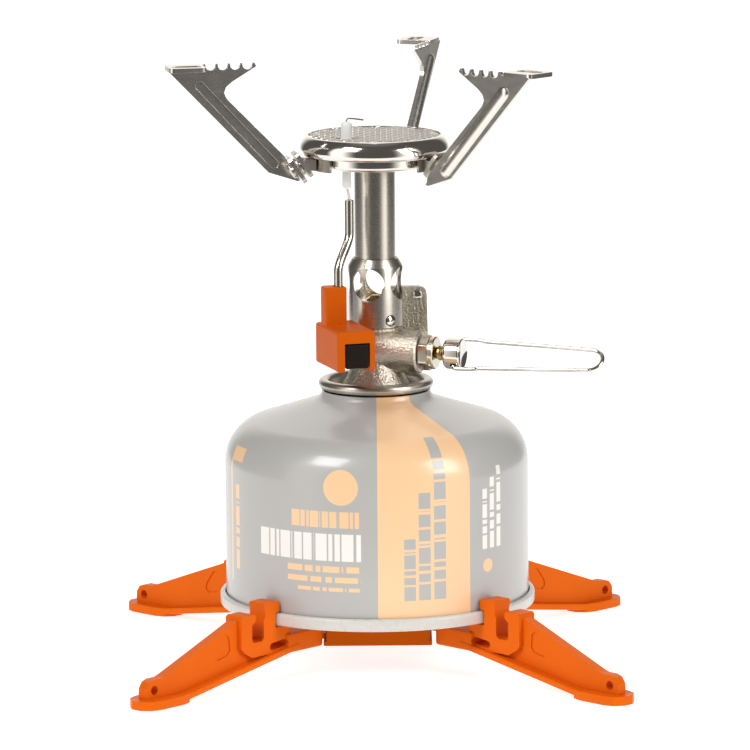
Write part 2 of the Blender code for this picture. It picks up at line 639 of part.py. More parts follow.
def make_electrode():
    start, end = Vector((*ELECTRODE_SPOT, 0)), Vector((-7.5, -9.7, 0))
    heights = [99.0, 106, 116.4, 118.5, 120.5, 122.9, 125.3, 127.4, 129.4, 133.0, 138.0]
    route = []
    for z in heights:
        share = min(max((z - 117.4) / 11.0, 0.0), 1.0)
        share = share * share * (3 - 2 * share)
        route.append(start.lerp(end, share) + Vector((0, 0, z)))
    tube = wire("electrode_tube", route, 1.3, STEEL, 14)
    bore = [route[0] - Vector((0, 0, 2)), *route[1:-1], route[-1] + Vector((0, 0, 2))]
    cut(tube, wire("electrode_bore", bore, 0.75, None, 10))
    lead_top = (-8.0, -9.7, 141.2)
    wire("electrode_lead", [(-7.5, -9.7, 132.0), (-7.5, -9.7, 138.4), (-7.7, -9.7, 139.8), lead_top], 0.42, CERAMIC, 8)
    spot = Matrix.Translation((*INSULATOR_SPOT, 0))
    lower = [(0, 141.6), (1.1, 141.6), (1.3, 141.9), (1.3, 154.0), (0.55, 154.0), (0.55, 143.0), (0, 143.0)]
    turned("electrode_insulator_lower", lower, CERAMIC, 20, spot)
    upper = [
        (0.55, 154.4), (1.6, 154.4), (1.65, 158.6), (1.5, 160.4), (1.1, 161.2), (0.55, 161.4),
    ]
    turned("electrode_insulator", upper, CERAMIC, 20, spot)
    x, y = INSULATOR_SPOT
    tip = [(x, y, 143.6), (x, y, 160.8), (x + 0.1, y, 161.8), (x + 0.6, y, 162.2), (x + 2.4, y + 0.2, 162.0),
           (x + 5.0, y + 0.5, 161.6)]
    wire("electrode_wire", tip, 0.24, STEEL, 8)


# ---- stabiliser ----

def leg_web_outline(tip):
    """A leg's thin fin in side view, from the hub to the eyelet near its tip."""
    end = tip - 2.9
    return [
        (33.0, 7.75), (44.2, 7.75), (end - 11.0, 0.9), (end - 2.4, 0.9), (end - 0.4, 1.6), (end, 3.4), (end - 0.2, 5.8),
        (end - 1.4, 7.5), (end - 3.2, 8.1), (end - 6.2, 8.1), (end - 8.0, 8.6), (59.5, 20.8), (58.6, 12.4),
        (44.0, 12.2), (33.0, 12.2),
    ]


def leg_hook_outline():
    """The two rim hooks in side view: the inner one grips a small canister, the outer one a larger."""
    inner = [(52.1, 13.6), (52.1, 18.6), (51.2, 20.4), (51.8, 23.0), (51.2, 23.6), (46.2, 23.6), (45.4, 23.0),
             (45.4, 20.8), (46.0, 20.35), (47.15, 20.35), (47.15, 15.9), (41.7, 15.9), (40.6, 12.8)]
    outer = [(60.2, 10.2), (61.4, 11.6), (61.4, 20.5), (60.8, 21.1), (55.9, 21.1), (55.3, 20.2), (55.6, 18.9),
             (57.0, 18.0), (57.0, 13.4), (56.2, 12.7), (53.0, 12.7)]
    return [(40.6, 8.4), (57.0, 8.4)] + outer + inner


def make_beam(name, legs, level, look):
    """Two legs on one bar that turns on the hub's pin. The level is the bar's lowest and highest height."""
    low, high = level
    bar_place = Matrix.Rotation(radians(LEG_AZIMUTHS[legs[0]]), 4, "Z")
    beam = prism(name, rounded([(-4.6, -4.6), (4.6, -4.6), (4.6, 4.6), (-4.6, 4.6)], 2.2), low, high, look, bar_place)
    cutters = [rod(name + "_pin_hole", 2.3, low - 2, high + 2, None, 16)]
    for leg in legs:
        azimuth, tip = LEG_AZIMUTHS[leg], LEG_TIPS[leg]
        flat = Matrix.Rotation(radians(azimuth), 4, "Z")
        side = upright(azimuth)
        spoke = block(leg + "_spoke", (1.0, -3.9, low + 0.05), (31.0, 3.9, high - 0.05), None, flat)
        root = block(leg + "_root", (28.0, -4.2, 7.5), (43.0, 4.2, 13.35), None, flat, 0.8)
        web = prism(leg + "_web", leg_web_outline(tip), -LEG_WEB / 2, LEG_WEB / 2, None, side)
        hooks = prism(leg + "_hooks", leg_hook_outline(), -HOOK_WIDTH / 2, HOOK_WIDTH / 2, None, side)
        start, end = Vector((43.0, 7.5, 0)), Vector((tip - 14.0, 0.1, 0))
        slope = atan2(start.y - end.y, end.x - start.x)
        tilt = side @ Matrix.Translation(start) @ Matrix.Rotation(-slope, 4, "Z")
        half = LEG_FLANGE_WIDTH / 2
        flange = block(leg + "_flange", (-5.0, 0, -half), ((end - start).length, 2.0, half), None, tilt, 0.5)
        pad_outline = slot_outline((tip - 14.6, 0), (tip - PAD_RADIUS, 0), PAD_RADIUS, 5)
        pad = prism(leg + "_pad", pad_outline, 0.0, 2.6, None, flat)
        join(beam, spoke, root, hooks, web, flange, pad)
        eyelet = side @ Matrix.Translation((tip - 6.2, 5.0, 0))
        cutters.append(rod(leg + "_eyelet", 1.4, -8, 8, None, 10, eyelet))
        for sign in (-1, 1):
            outer = sign * (LEG_WEB / 2 + 1.0)
            inner = sign * (LEG_WEB / 2 - RECESS_DEPTH)
            cutters.append(prism(f"{leg}_recess_{sign}", RECESS, min(inner, outer), max(inner, outer), None, side))
        cutters.append(prism(leg + "_slot", slot_outline((43.6, 10.9), (48.6, 10.4), 1.1, 4), -6, 6, None, side))
    cut(beam, *cutters)


def make_stabiliser():
    make_beam("stabilizer_beam_lower", ("front_left", "back_right"), (9.5, 11.2), ORANGE)
    make_beam("stabilizer_beam_upper", ("front_right", "back_left"), (11.5, 13.2), ORANGE)
    hub = block("stabilizer_hub", (-HUB_HALF_X, -HUB_HALF_Y, HUB_BOTTOM), (HUB_HALF_X, HUB_HALF_Y, HUB_BOTTOM + 1.6),
                ORANGE, None, 0.4)
    for name, sign in (("front", -1), ("back", 1)):
        near, far = sorted((sign * HUB_HALF_Y, sign * (HUB_HALF_Y - 2.4)))
        wall = prism(f"hub_wall_{name}", rounded([(-15.2, near), (15.2, near), (15.2, far), (-15.2, far)], 0.5),
                     HUB_BOTTOM + 0.2, 13.0)
        join(hub, wall)
    cut(hub, rod("hub_pin_hole", 2.3, 5, 12, None, 24))
    pin = [(0, 6.8), (3.4, 6.8), (3.8, 7.3), (2.0, 7.3), (2.0, 13.5), (3.6, 13.5), (3.2, 14.4), (0, 14.6)]
    turned("stabilizer_pin", pin, STEEL, 20)


def main():
    clear_scene()
    make_canister()
    make_valve_body()
    make_sleeve_and_tube()
    make_burner()
    for side, azimuth in SUPPORT_AZIMUTHS.items():
        make_support(side, azimuth)
    make_control()
    make_handle()
    make_igniter()
    make_stabiliser()


main()
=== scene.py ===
"""Looks of a folding camping stove on its gas canister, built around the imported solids."""

import json
from math import cos, pi, radians, sin

import bmesh
import bpy
from bpy.props import FloatProperty, FloatVectorProperty, IntProperty, PointerProperty
from mathutils import Matrix, Vector


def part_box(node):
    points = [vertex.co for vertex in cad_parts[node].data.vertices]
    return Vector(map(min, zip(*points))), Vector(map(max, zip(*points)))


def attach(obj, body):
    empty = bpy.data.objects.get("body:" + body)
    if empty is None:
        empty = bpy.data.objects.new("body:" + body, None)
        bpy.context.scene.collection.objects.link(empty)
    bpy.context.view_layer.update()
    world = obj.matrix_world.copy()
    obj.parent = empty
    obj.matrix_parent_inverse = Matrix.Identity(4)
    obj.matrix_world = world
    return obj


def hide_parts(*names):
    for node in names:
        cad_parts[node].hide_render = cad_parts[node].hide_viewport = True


bl_info = {
    "name": "Camping Stove",
    "version": (1, 0, 0),
    "blender": (4, 5, 0),
    "location": "3D View > Sidebar > Stove",
    "description": "Builds the finished surfaces of a folding camping stove around its solids",
    "category": "Add Mesh",
}

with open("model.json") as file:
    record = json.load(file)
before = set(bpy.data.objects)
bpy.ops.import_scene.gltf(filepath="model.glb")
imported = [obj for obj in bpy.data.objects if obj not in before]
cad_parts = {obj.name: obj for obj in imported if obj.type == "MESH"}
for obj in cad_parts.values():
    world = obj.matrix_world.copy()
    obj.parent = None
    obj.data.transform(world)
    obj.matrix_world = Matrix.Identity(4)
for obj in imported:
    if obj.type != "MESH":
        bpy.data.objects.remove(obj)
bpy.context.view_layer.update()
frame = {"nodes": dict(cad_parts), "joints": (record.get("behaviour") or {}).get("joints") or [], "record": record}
MM = 0.001
UP = Vector((0, 0, 1))
ROOM, SIDE_LIGHT, BACK_WALL, CEILING = 0.1, 1.65, 1.05, 0.09   # how bright each part of the studio is
JOINTS = {joint["name"]: joint for joint in frame["joints"]}


# ---- small helpers ----

def reach(node):
    """A node's farthest distance from the stove's axis."""
    low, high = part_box(node)
    return max(abs(low[0]), abs(high[0]), abs(low[1]), abs(high[1]))


def bottom(node):
    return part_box(node)[0][2]


def top(node):
    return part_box(node)[1][2]


def frame_of(x_axis, y_axis, z_axis, origin=(0, 0, 0)):
    made = Matrix((x_axis, y_axis, z_axis)).transposed().to_4x4()
    made.translation = Vector(origin)
    return made


def facing(out, origin):
    """A level frame whose local Z runs out along the given direction."""
    return frame_of(UP.cross(out), UP, out, origin)


def middle_of(node):
    low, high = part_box(node)
    return (Vector(low) + Vector(high)) / 2


def above_middle(node):
    """An upright frame on the level of the ground, in line with the node's middle."""
    spot = middle_of(node)
    return Matrix.Translation((spot.x, spot.y, 0))


def arc(centre, radius, start, end, steps):
    turns = [radians(start + (end - start) * k / steps) for k in range(steps + 1)]
    return [(centre[0] + radius * cos(t), centre[1] + radius * sin(t)) for t in turns]


def piece_from(form, name, finish, smooth_under=35.0):
    """A finished piece from a bmesh in metres."""
    mesh = bpy.data.meshes.new(name)
    form.to_mesh(mesh)
    form.free()
    mesh.shade_smooth()
    mesh.set_sharp_from_angle(angle=radians(smooth_under))
    piece = bpy.data.objects.new(name, mesh)
    bpy.context.scene.collection.objects.link(piece)
    mesh.materials.append(finish)
    return piece


def stand_for(piece, node, *others):
    """The piece moves with the node's body and hides the node."""
    bodies = frame["record"]["behaviour"]["bodies"]
    body = next(name for name, nodes in bodies.items() if node in nodes)
    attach(piece, body)
    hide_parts(node, *others)


def lathe(outline, segments, place=None):
    """Turns a closed outline of (radius, height) in millimetres round Z. Points on the axis become poles."""
    form = bmesh.new()
    rings = []
    for radius, height in outline:
        if radius < 1e-6:
            rings.append([form.verts.new((0, 0, height * MM))])
            continue
        turns = [2 * pi * k / segments for k in range(segments)]
        rings.append([form.verts.new((radius * MM * cos(t), radius * MM * sin(t), height * MM))
                      for t in turns])
    for step, ring in enumerate(rings):
        after = rings[(step + 1) % len(rings)]
        if len(ring) == 1 and len(after) == 1:
            continue
        for k in range(segments):
            n = (k + 1) % segments
            if len(ring) == 1:
                form.faces.new((ring[0], after[n], after[k]))
            elif len(after) == 1:
                form.faces.new((ring[k], ring[n], after[0]))
            else:
                form.faces.new((ring[k], ring[n], after[n], after[k]))
    bmesh.ops.recalc_face_normals(form, faces=form.faces)
    if place:
        form.transform(place)
    return form


def turned(name, outline, finish, segments=96, place=None, smooth_under=35.0):
    return piece_from(lathe(outline, segments, place), name, finish, smooth_under)


def swept(name, route, radius, finish, sides=20):
    """A round wire along a route in metres, with domed ends."""
    form = bmesh.new()
    rings = []
    side = None
    for step, point in enumerate(route):
        along = (route[min(step + 1, len(route) - 1)] - route[max(step - 1, 0)]).normalized()
        if side is None:
            side = along.orthogonal().normalized()
        side = (side - along * side.dot(along)).normalized()
        other = along.cross(side)
        rings.append([form.verts.new(point + (side * cos(t) + other * sin(t)) * radius)
                      for t in (2 * pi * k / sides for k in range(sides))])
    for ring, after in zip(rings, rings[1:]):
        for k in range(sides):
            n = (k + 1) % sides
            form.faces.new((ring[k], ring[n], after[n], after[k]))
    for ring, end, inner in ((rings[0], route[0], route[1]), (rings[-1], route[-1], route[-2])):
        tip = form.verts.new(end + (end - inner).normalized() * radius * 0.35)
        for k in range(sides):
            form.faces.new((ring[k], ring[(k + 1) % sides], tip))
    bmesh.ops.recalc_face_normals(form, faces=form.faces)
    return piece_from(form, name, finish)


def smooth_route(points, steps=8):
    """A Catmull-Rom curve through the points."""
    points = [Vector(p) for p in points]
    made = []
    for k in range(len(points) - 1):
        a = points[max(k - 1, 0)]
        b, c = points[k], points[k + 1]
        d = points[min(k + 2, len(points) - 1)]
        for s in range(steps):
            t = s / steps
            made.append(0.5 * (2 * b + (c - a) * t + (2 * a - 5 * b + 4 * c - d) * t ** 2
                               + (3 * b - a - 3 * c + d) * t ** 3))
    return made + [points[-1]]


def applied(piece):
    """Bakes the piece's modifiers into a new plain mesh."""
    made = bpy.data.meshes.new_from_object(
        piece.evaluated_get(bpy.context.evaluated_depsgraph_get()))
    piece.modifiers.clear()
    old = piece.data
    piece.data = made
    bpy.data.meshes.remove(old)
    return piece


def cut(piece, *cutters):
    for cutter in cutters:
        modifier = piece.modifiers.new("cut", "BOOLEAN")
        modifier.operation = "DIFFERENCE"
        modifier.solver = "EXACT"
        modifier.object = cutter
    bpy.context.view_layer.update()
    applied(piece)
    for cutter in cutters:
        bpy.data.objects.remove(cutter, do_unlink=True)
    piece.data.set_sharp_from_angle(angle=radians(35.0))


def eased(node, finish, edge, segments=3, reshape=None):
    """A copy of a node with its flat faces whole again and its edges rounded."""
    merge_within, flat_under, round_over = 0.002 * MM, radians(1.0), radians(28.0)
    form = bmesh.new()
    form.from_mesh(frame["nodes"][node].data)
    bmesh.ops.remove_doubles(form, verts=form.verts, dist=merge_within)
    bmesh.ops.dissolve_limit(form, angle_limit=flat_under, verts=form.verts, edges=form.edges)
    if reshape:
        reshape(form)
    piece = piece_from(form, f"{node}_finished", finish, smooth_under=180.0)
    bevel = piece.modifiers.new("edges", "BEVEL")
    bevel.width = edge
    bevel.segments = segments
    bevel.limit_method = "ANGLE"
    bevel.angle_limit = round_over
    bevel.use_clamp_overlap = True
    bevel.harden_normals = False
    bevel.miter_outer = "MITER_ARC"
    flat = piece.modifiers.new("flat_faces", "WEIGHTED_NORMAL")
    flat.weight = 100
    bpy.context.view_layer.update()
    applied(piece)
    stand_for(piece, node)
    return piece


# ---- finishes ----

class Finish:
    """Builds one material's node tree in plain steps."""

    def __init__(self, name, colour, roughness, metallic=0.0):
        self.material = bpy.data.materials.new(name)
        self.material.use_nodes = True
        self.tree = self.material.node_tree
        self.shader = self.tree.nodes["Principled BSDF"]
        self.shader.inputs["Base Color"].default_value = (*colour, 1.0)
        self.shader.inputs["Roughness"].default_value = roughness
        self.shader.inputs["Metallic"].default_value = metallic
        self.place = self.tree.nodes.new("ShaderNodeTexCoord").outputs["Object"]

    def set(self, **values):
        for socket, value in values.items():
            self.shader.inputs[socket.replace("_", " ")].default_value = value
        return self

    def link(self, source, target):
        self.tree.links.new(source, target)

    def maths(self, operation, first, second=0.0, third=0.0):
        node = self.tree.nodes.new("ShaderNodeMath")
        node.operation = operation
        for socket, value in zip(node.inputs, (first, second, third)):
            if isinstance(value, (int, float)):
                socket.default_value = value
            else:
                self.link(value, socket)
        return node.outputs[0]

    def noise(self, scale, detail=3.0, stretch=(1, 1, 1)):
        mapping = self.tree.nodes.new("ShaderNodeMapping")
        mapping.inputs["Scale"].default_value = stretch
        self.link(self.place, mapping.inputs["Vector"])
        node = self.tree.nodes.new("ShaderNodeTexNoise")
        node.inputs["Scale"].default_value = scale
        node.inputs["Detail"].default_value = detail
        self.link(mapping.outputs["Vector"], node.inputs["Vector"])
        return node.outputs["Fac"]

    def axes(self):
        """The place's X, Y and Z, in metres."""
        split = self.tree.nodes.new("ShaderNodeSeparateXYZ")
        self.link(self.place, split.inputs[0])
        return split.outputs

    def length(self, across, along):
        squares = self.maths("ADD", self.maths("POWER", across, 2.0), self.maths("POWER", along, 2.0))
        return self.maths("SQRT", squares)

    def spread(self, value, low, high):
        """Takes a 0 to 1 value to the range low to high."""
        node = self.tree.nodes.new("ShaderNodeMapRange")
        self.link(value, node.inputs["Value"])
        node.inputs["To Min"].default_value = low
        node.inputs["To Max"].default_value = high
        return node.outputs["Result"]

    def mix(self, share, first, second):
        node = self.tree.nodes.new("ShaderNodeMix")
        node.data_type = "RGBA"
        self.link(share, node.inputs["Factor"])
        for socket, value in ((node.inputs["A"], first), (node.inputs["B"], second)):
            if isinstance(value, tuple):
                socket.default_value = (*value, 1.0)
            else:
                self.link(value, socket)
        return node.outputs["Result"]

    def roughen(self, value, low, high):
        self.link(self.spread(value, low, high), self.shader.inputs["Roughness"])
        return self

    def tint(self, value, first, second):
        self.link(self.mix(value, first, second), self.shader.inputs["Base Color"])
        return self

    def relief(self, value, strength, depth):
        node = self.tree.nodes.new("ShaderNodeBump")
        node.inputs["Strength"].default_value = strength
        node.inputs["Distance"].default_value = depth
        self.link(value, node.inputs["Height"])
        self.link(node.outputs["Normal"], self.shader.inputs["Normal"])
        return self


def shade(colour, factor):
    return tuple(min(c * factor, 1.0) for c in colour)


def brushed_steel(name, colour, roughness, stretch=(1, 1, 40)):
    """Turned or drawn sheet: fine streaks along one way, and slow tone changes."""
    finish = Finish(name, colour, roughness, 1.0)
    streaks = finish.noise(900.0, 2.0, stretch)
    finish.roughen(streaks, roughness * 0.8, roughness * 1.25)
    finish.relief(streaks, 0.06, 0.00003)
    finish.tint(finish.noise(55.0, 3.0), shade(colour, 0.93), shade(colour, 1.05))
    return finish.material


def polished_steel(name, colour, roughness):
    """Buffed plate with faint swirls and handling marks."""
    finish = Finish(name, colour, roughness, 1.0)
    marks = finish.noise(260.0, 5.0, (1, 1, 2.5))
    finish.roughen(marks, roughness * 0.8, roughness * 1.25)
    finish.relief(finish.noise(120.0, 2.0), 0.015, 0.0001)
    finish.tint(finish.noise(40.0, 3.0), shade(colour, 0.94), shade(colour, 1.04))
    return finish.material


def sooty_shaded_steel(name, colour, roughness, level, radius=None):
    """Pressed steel painted near black below a level, or above it and inside a radius, as painted shade with some
    soot.
    """
    finish = Finish(name, colour, roughness, 1.0)
    x, y, z = finish.axes()
    # Painted shade: the masked part is turned near black, as shade in hollows and underneath, with some soot.
    below = finish.maths("LESS_THAN", z, level)
    painted_dark = below
    if radius:
        inside = finish.maths("LESS_THAN", finish.length(x, y), radius)
        painted_dark = finish.maths("MULTIPLY", finish.maths("SUBTRACT", 1.0, below), inside)
    unshaded_tone = finish.mix(finish.noise(55.0, 3.0), shade(colour, 0.92), shade(colour, 1.05))
    finish.link(finish.mix(painted_dark, unshaded_tone, shade(colour, 0.05)), finish.shader.inputs["Base Color"])
    finish.roughen(finish.noise(700.0, 3.0), roughness * 0.8, roughness * 1.3)
    finish.relief(finish.noise(300.0, 2.0), 0.03, 0.00005)
    return finish.material


def cast_nickel(name, colour, roughness):
    """Blasted casting under nickel plate: coarse bright grain."""
    finish = Finish(name, colour, roughness, 1.0)
    grain = finish.noise(1500.0, 3.0)
    finish.relief(grain, 0.9, 0.0004)
    finish.roughen(finish.noise(700.0, 3.0), roughness * 0.75, roughness * 1.3)
    finish.tint(finish.noise(160.0, 4.0), shade(colour, 0.82), shade(colour, 1.12))
    return finish.material


def moulded_plastic(name, colour, roughness):
    """Injection-moulded nylon: slight orange peel and a soft tone change."""
    finish = Finish(name, colour, roughness)
    skin = finish.noise(1300.0, 2.0)
    finish.relief(skin, 0.12, 0.00005)
    finish.roughen(finish.noise(300.0, 3.0), roughness * 0.85, roughness * 1.2)
    finish.tint(finish.noise(60.0, 3.0), shade(colour, 0.93), shade(colour, 1.06))
    finish.set(Specular_IOR_Level=0.12, Specular_Tint=(1.0, 0.42, 0.1, 1.0))
    return finish.material


def plain_finish(name, colour, roughness, metallic=0.0, grain=700.0, bump=0.08):
    """Small parts: an even colour with a fine surface grain."""
    finish = Finish(name, colour, roughness, metallic)
    skin = finish.noise(grain, 3.0)
    finish.relief(skin, bump, 0.00005)
    finish.roughen(skin, roughness * 0.8, roughness * 1.2)
    finish.tint(finish.noise(90.0, 2.0), shade(colour, 0.95), shade(colour, 1.04))
    return finish.material


def printed_canister(sizes):
    """Grey enamel with an amber panel and rows of plain printed blocks.

    Places are an angle round the can, in degrees to the right of the front, and a height in millimetres.
    """
    grey, amber, white = tuple(sizes.grey), tuple(sizes.amber), tuple(sizes.white)
    finish = Finish("canister_print", grey, 0.42)
    x, y, z = finish.axes()
    angle = finish.maths("DEGREES", finish.maths("ARCTAN2", x, finish.maths("MULTIPLY", y, -1.0)))
    height = finish.maths("DIVIDE", z, MM)
    slow_pitch = 1.618   # a second, slower row of gaps makes the blocks uneven, like words

    def patch(left, right, low, high, pitch=0.0, upright=False):
        """A printed rectangle, or with a pitch a row of short blocks across it or up it."""
        across = finish.maths("COMPARE", angle, (left + right) / 2, (right - left) / 2)
        tall = finish.maths("COMPARE", height, (low + high) / 2, (high - low) / 2)
        mask = finish.maths("MULTIPLY", across, tall)
        if not pitch:
            return mask
        run = finish.maths("SUBTRACT", height if upright else angle, low if upright else left)
        for length, printed in ((pitch, 0.88), (pitch * slow_pitch, 0.9)):
            share = finish.maths("FRACT", finish.maths("DIVIDE", run, length))
            mask = finish.maths("MULTIPLY", mask, finish.maths("LESS_THAN", share, printed))
        return mask

    def disc(middle, level, radius):
        """A printed round dot: its radius is in millimetres on the can's side."""
        degree = radians(1.0) * sizes.radius / MM
        aside = finish.maths("MULTIPLY", finish.maths("SUBTRACT", angle, middle), degree)
        above = finish.maths("SUBTRACT", height, level)
        return finish.maths("LESS_THAN", finish.length(aside, above), radius)

    def together(patches):
        made = patches[0]
        for each in patches[1:]:
            made = finish.maths("MAXIMUM", made, each)
        return made

    amber_marks = [patch(-33.5, -6.5, 46.6, 51.4, 3.9), patch(-35.5, -6.0, 33.4, 35.2, 7.4),
                   patch(-35.5, -6.0, 30.4, 32.0, 9.8), patch(-31.0, -6.0, 27.8, 28.9, 6.3),
                   patch(-72.0, -70.6, 26.0, 66.0), patch(-72.0, -62.0, 62.0, 66.0),
                   patch(-67.0, -64.0, 30.0, 56.0, 6.5, True), disc(-13.6, 58.5, 5.2), disc(46.0, 33.0, 2.0)]
    column, apart, width = 43.2, 3.9, 2.4
    columns = [(column + apart * k, 56.0 + 3.0 * k, 4.6 + k) for k in range(3)]
    white_marks = [patch(-49.0, -6.0, 36.8, 44.8, 5.1)]
    white_marks += [patch(left, left + width, 38.0, tall, pitch, True) for left, tall, pitch in columns]
    grey_marks = [patch(10.0, 14.4, 25.0, 43.6, 4.7, True), patch(15.6, 20.2, 25.0, 57.0, 5.4, True),
                  patch(21.6, 26.4, 25.0, 72.0, 5.9, True)]
    panel_middle, panel_half = 18.6, 18.4
    panel = finish.maths("COMPARE", angle, panel_middle, panel_half)
    colour = finish.mix(together(amber_marks + [panel]), grey, amber)
    colour = finish.mix(together(white_marks), colour, white)
    colour = finish.mix(together(grey_marks), colour, grey)
    veil = finish.spread(finish.noise(35.0, 3.0), 0.0, 0.05)
    finish.link(finish.mix(veil, colour, white), finish.shader.inputs["Base Color"])
    finish.relief(finish.noise(420.0, 2.0), 0.03, 0.0001)
    finish.roughen(finish.noise(150.0, 3.0), 0.26, 0.36)
    finish.set(Coat_Weight=0.5, Coat_Roughness=0.12)
    return finish.material


# ---- settings ----

class CanisterSettings(bpy.types.PropertyGroup):
    radius: FloatProperty(name="Body radius", description="Radius of the can's straight side",
                          default=reach("canister_shell"), unit="LENGTH")
    segments: IntProperty(name="Segments", description="Faces round the can", default=160, min=24)
    grey: FloatVectorProperty(name="Grey", description="Enamel colour", subtype="COLOR",
                              default=(0.44, 0.435, 0.42))
    amber: FloatVectorProperty(name="Amber", description="Panel colour", subtype="COLOR",
                               default=(0.91, 0.58, 0.32))
    white: FloatVectorProperty(name="White", description="Rim and print colour", subtype="COLOR",
                               default=(0.86, 0.84, 0.79))


class BurnerSettings(bpy.types.PropertyGroup):
    hole_radius: FloatProperty(name="Hole radius", description="Radius of a perforation", default=0.0009,
                               unit="LENGTH")
    pitch: FloatProperty(name="Pitch", description="Distance between perforations", default=0.0033,
                         unit="LENGTH")
    rim_height: FloatProperty(name="Rim", description="How far a perforation's raised rim stands up",
                              default=0.0004, unit="LENGTH")


class MetalSettings(bpy.types.PropertyGroup):
    steel: FloatVectorProperty(name="Steel", description="Brushed stainless steel", subtype="COLOR",
                               default=(0.61, 0.57, 0.51))
    bright: FloatVectorProperty(name="Bright", description="Polished stainless steel", subtype="COLOR",
                                default=(0.76, 0.73, 0.68))
    nickel: FloatVectorProperty(name="Nickel", description="Nickel-plated casting", subtype="COLOR",
                                default=(0.64, 0.585, 0.49))
    edge: FloatProperty(name="Sheet edge", description="Rounding of a stamped sheet's edges", default=0.0002,
                        unit="LENGTH")
    small_edge: FloatProperty(name="Small edge", description="Rounding of a washer's or a rivet's edges",
                              default=0.00012, unit="LENGTH")


class PlasticSettings(bpy.types.PropertyGroup):
    orange: FloatVectorProperty(name="Orange", description="Moulded plastic", subtype="COLOR",
                                default=(0.74, 0.125, 0.005))
    black: FloatVectorProperty(name="Black", description="Igniter button", subtype="COLOR",
                               default=(0.012, 0.012, 0.012))
    edge: FloatProperty(name="Moulded edge", description="Rounding of a moulded part's edges", default=0.0005,
                        unit="LENGTH")


# ---- the canister ----

class STOVE_OT_canister(bpy.types.Operator):
    """Builds the printed can, its white base and the curled valve ring"""
    bl_idname = "stove.canister"
    bl_label = "Canister"

    def execute(self, context):
        sizes = context.scene.stove_canister
        metal = context.scene.stove_metal
        radius = sizes.radius / MM
        foot = bottom("canister_shell") / MM
        shoulder, bend = 59.0, 13.6
        wall = 0.5
        outer = [(radius, foot), *arc((radius - bend, shoulder), bend, 0, 66, 22)]
        outer += [(24.0, 75.6), (18.6, 77.4), (16.9, 78.3), (16.2, 79.4), (16.1, top("canister_shell") / MM)]
        inner = [(r - wall, z - wall * 0.4) for r, z in outer]
        can = turned("canister_can", outer + inner[::-1], printed_canister(sizes), sizes.segments)
        stand_for(can, "canister_shell")

        rim = reach("canister_base") / MM
        low, high = bottom("canister_base") / MM, 20.0
        roll = (high - low) / 2
        white = plain_finish("base_enamel", shade(tuple(sizes.white), 0.72), 0.28, grain=300.0, bump=0.05)
        profile = [(44.2, low + 0.15), (44.8, low), (rim - 0.9, low)]
        profile += arc((rim - 0.9, low + 0.9), 0.9, -90, 0, 6) + arc((rim - 0.8, high - 0.8), 0.8, 0, 90, 6)
        profile += [(radius + 0.4, high), (radius + 0.3, low + roll), (radius - 0.9, low + 1.2), (44.0, 21.2),
                    (43.5, 21.4), (40.0, 19.3), (24.0, 22.4), (0, top("canister_base") / MM), (0, 23.1),
                    (24.0, 21.9), (40.0, 18.7), (43.0, 18.4)]
        base = turned("canister_rolled_base", profile, white, sizes.segments)
        stand_for(base, "canister_base")

        curl_radius, level = 1.55, 82.2
        curl = reach("canister_valve_cup") / MM - curl_radius
        cup = arc((curl, level), curl_radius, -110, 200, 24)
        cup += [(13.3, level - 1.5), (13.0, 79.2), (12.6, 78.2), (11.8, 77.7), (6.0, 77.6), (6.0, 77.0),
                (12.4, 77.0), (13.7, 77.8), (14.5, level - 1.6)]
        steel = brushed_steel("ring_steel", shade(tuple(metal.steel), 0.95), 0.3)
        ring = turned("canister_curled_ring", cup, steel, 128, smooth_under=50.0)
        stand_for(ring, "canister_valve_cup")
        return {"FINISHED"}


# ---- the burner ----

